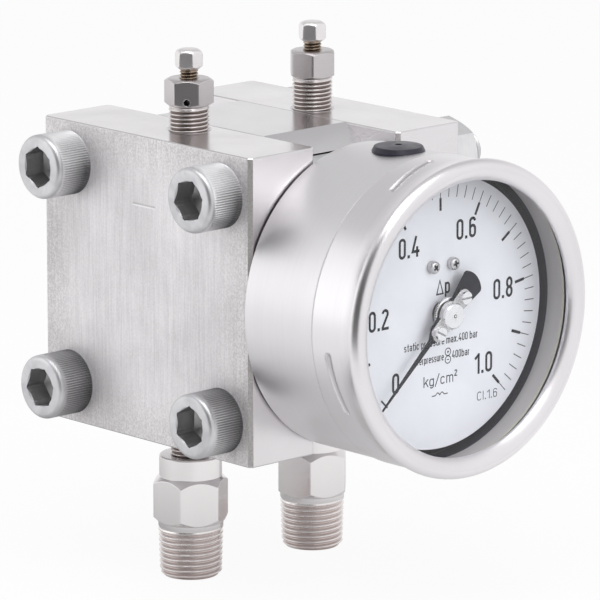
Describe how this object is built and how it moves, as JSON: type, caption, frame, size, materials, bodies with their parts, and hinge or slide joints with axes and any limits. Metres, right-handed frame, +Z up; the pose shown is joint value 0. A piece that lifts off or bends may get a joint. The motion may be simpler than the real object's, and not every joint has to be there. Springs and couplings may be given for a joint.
{
  "type": "differential pressure gauge",
  "caption": "Differential pressure gauge: a bolted square diaphragm cell with pipe connections below, vent valves above and a round dial case with a pointer in front.",
  "frame": {"origin": "midway between the two process connections, level with their lower ends", "axes": "+Z up, -Y towards the viewer of the dial, +X from the low side to the high side along the bolts"},
  "size_m": [0.1228, 0.1541, 0.1765],
  "materials": {
    "milled_steel": "milled and ground",
    "turned_steel": "turned",
    "plated_steel": "matt zinc plating",
    "case_steel": "satin",
    "polished_steel": "polished",
    "fine_steel": "bright",
    "movement_brass": "satin",
    "black_rubber": "matt",
    "pale_rubber": "matt",
    "clear_glass": "clear",
    "white_dial": "matt white",
    "black_paint": "matt black"
  },
  "bodies": {
    "housing": {"low_side_plate": "milled_steel", "high_side_plate": "milled_steel", "cell_body": "milled_steel", "clamp_bolts": "plated_steel", "clamp_nuts": "plated_steel", "low_side_adapter": "turned_steel", "high_side_adapter": "turned_steel", "low_vent_body": "turned_steel", "high_vent_body": "turned_steel", "low_side_seal": "black_rubber", "high_side_seal": "black_rubber", "low_side_diaphragm": "fine_steel", "high_side_diaphragm": "fine_steel", "torque_tube": "fine_steel", "case_pad": "case_steel", "case": "case_steel", "case_screws": "fine_steel", "window": "clear_glass", "window_gasket": "pale_rubber", "blowout_plug": "black_rubber", "dial": "white_dial", "dial_posts": "movement_brass", "dial_screws": "fine_steel", "movement_back_plate": "movement_brass", "movement_front_plate": "movement_brass", "movement_posts": "movement_brass", "movement_pillars": "movement_brass", "movement_screws": "fine_steel", "hairspring": "fine_steel", "hairspring_stud": "movement_brass"},
    "ring": {"bayonet_ring": "polished_steel"},
    "pointer": {"pinion": "fine_steel", "pointer_blade": "black_paint", "pointer_carrier": "fine_steel", "pointer_hub": "fine_steel", "pointer_screws": "fine_steel"},
    "sector": {"sector_gear": "movement_brass", "sector_crank": "movement_brass"},
    "lever": {"transmission_lever": "fine_steel", "lever_shaft": "fine_steel", "drive_arm": "movement_brass"},
    "link": {"drive_link": "movement_brass"},
    "rod": {"diaphragm_rod": "fine_steel", "rod_clamp_discs": "fine_steel", "rod_nuts": "fine_steel"},
    "low_tip": {"low_vent_tip": "turned_steel"},
    "low_screw": {"low_vent_screw": "turned_steel"},
    "high_tip": {"high_vent_tip": "turned_steel"},
    "high_screw": {"high_vent_screw": "turned_steel"}
  },
  "joints": [
    {"name": "rod_slide", "type": "slide", "parent": "housing", "child": "rod", "axis": [1, 0, 0], "range_m": [-0.00124, 0], "stiffness_N_per_m": 5000, "deforming": ["low_side_diaphragm", "high_side_diaphragm"]},
    {"name": "pointer_turn", "type": "hinge", "parent": "housing", "child": "pointer", "pos_m": [0, -0.09, 0.0977], "axis": [0, 1, 0], "range_deg": [0, 270.02], "deforming": ["hairspring"]},
    {"name": "sector_turn", "type": "hinge", "parent": "housing", "child": "sector", "pos_m": [-0.016, -0.07, 0.11559], "axis": [0, 1, 0], "range_deg": [-30.02, 0]},
    {"name": "lever_turn", "type": "hinge", "parent": "housing", "child": "lever", "pos_m": [0, -0.03, 0.0857], "axis": [0, 1, 0], "range_deg": [-5.95, 0]},
    {"name": "link_swing", "type": "hinge", "parent": "lever", "child": "link", "pos_m": [-0.02, -0.0616, 0.0857], "axis": [0, 1, 0], "range_deg": [0, 5.95]},
    {"name": "low_vent_lift", "type": "slide", "parent": "housing", "child": "low_tip", "axis": [0, 0, 1], "range_m": [0, 0.002]},
    {"name": "low_vent_turn", "type": "hinge", "parent": "low_tip", "child": "low_screw", "pos_m": [-0.027, 0, 0.16], "axis": [0, 0, 1], "range_deg": [0, 720.1]},
    {"name": "high_vent_lift", "type": "slide", "parent": "housing", "child": "high_tip", "axis": [0, 0, 1], "range_m": [0, 0.002]},
    {"name": "high_vent_turn", "type": "hinge", "parent": "high_tip", "child": "high_screw", "pos_m": [0.027, 0, 0.16], "axis": [0, 0, 1], "range_deg": [0, 720.1]},
    {"name": "bayonet_turn", "type": "hinge", "parent": "housing", "child": "ring", "pos_m": [0, -0.09, 0.0977], "axis": [0, -1, 0], "range_deg": [0, 30]}
  ],
  "couplings": [
    {"joint": "pointer_turn", "follows": "rod_slide", "rad_per_m": -3794.2},
    {"joint": "sector_turn", "follows": "rod_slide", "rad_per_m": 421.58},
    {"joint": "lever_turn", "follows": "rod_slide", "rad_per_m": 83.332},
    {"joint": "link_swing", "follows": "rod_slide", "rad_per_m": -83.332},
    {"joint": "low_vent_turn", "follows": "low_vent_lift", "rad_per_m": 6283.2},
    {"joint": "high_vent_turn", "follows": "high_vent_lift", "rad_per_m": 6283.2}
  ]
}
